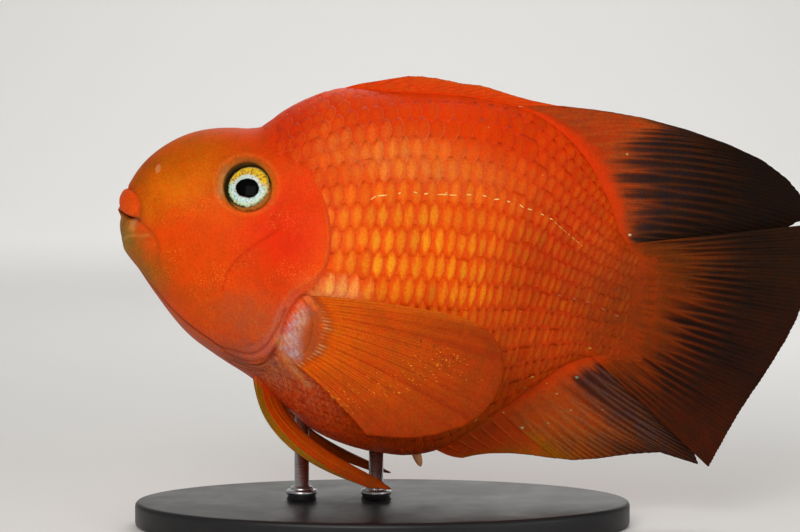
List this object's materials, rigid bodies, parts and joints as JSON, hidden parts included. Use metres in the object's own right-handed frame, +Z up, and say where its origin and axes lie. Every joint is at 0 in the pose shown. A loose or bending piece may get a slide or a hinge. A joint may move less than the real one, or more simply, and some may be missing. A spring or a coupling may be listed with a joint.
{
  "type": "blood parrot cichlid museum model",
  "caption": "Life-size still model of a blood parrot cichlid, a deep-bodied red-orange aquarium fish with trailing fins, held nose up on a plain oval stand.",
  "frame": {"origin": "on the floor, under the middle of the model's box", "axes": "+X from the snout to the tail, +Y to the fish's right side, +Z up"},
  "size_m": [0.2104, 0.086, 0.136],
  "materials": {
    "skin": "painted cast, moist satin gloss, scaled",
    "lip": "painted cast, moist satin gloss, smooth",
    "eye": "glass eye, painted behind",
    "fin": "thin tinted cast, satin",
    "stand_base": "satin black, rounded edge",
    "stand_rod": "fine turned steel"
  },
  "bodies": {
    "root": {"head": "skin", "torso": "skin", "tail_stalk": "skin", "gill_cover_left": "skin", "gill_cover_right": "skin", "upper_lip": "lip", "lower_jaw": "lip", "eye_left": "eye", "eye_right": "eye", "back_fin_spines": "fin", "back_fin_rays": "fin", "tail_fin": "fin", "belly_fin_spines": "fin", "belly_fin_rays": "fin", "breast_fin_left": "fin", "breast_fin_right": "fin", "pelvic_fin_left": "fin", "pelvic_fin_right": "fin", "stand_base": "stand_base", "stand_rod_front": "stand_rod", "stand_rod_rear": "stand_rod"}
  },
  "joints": []
}
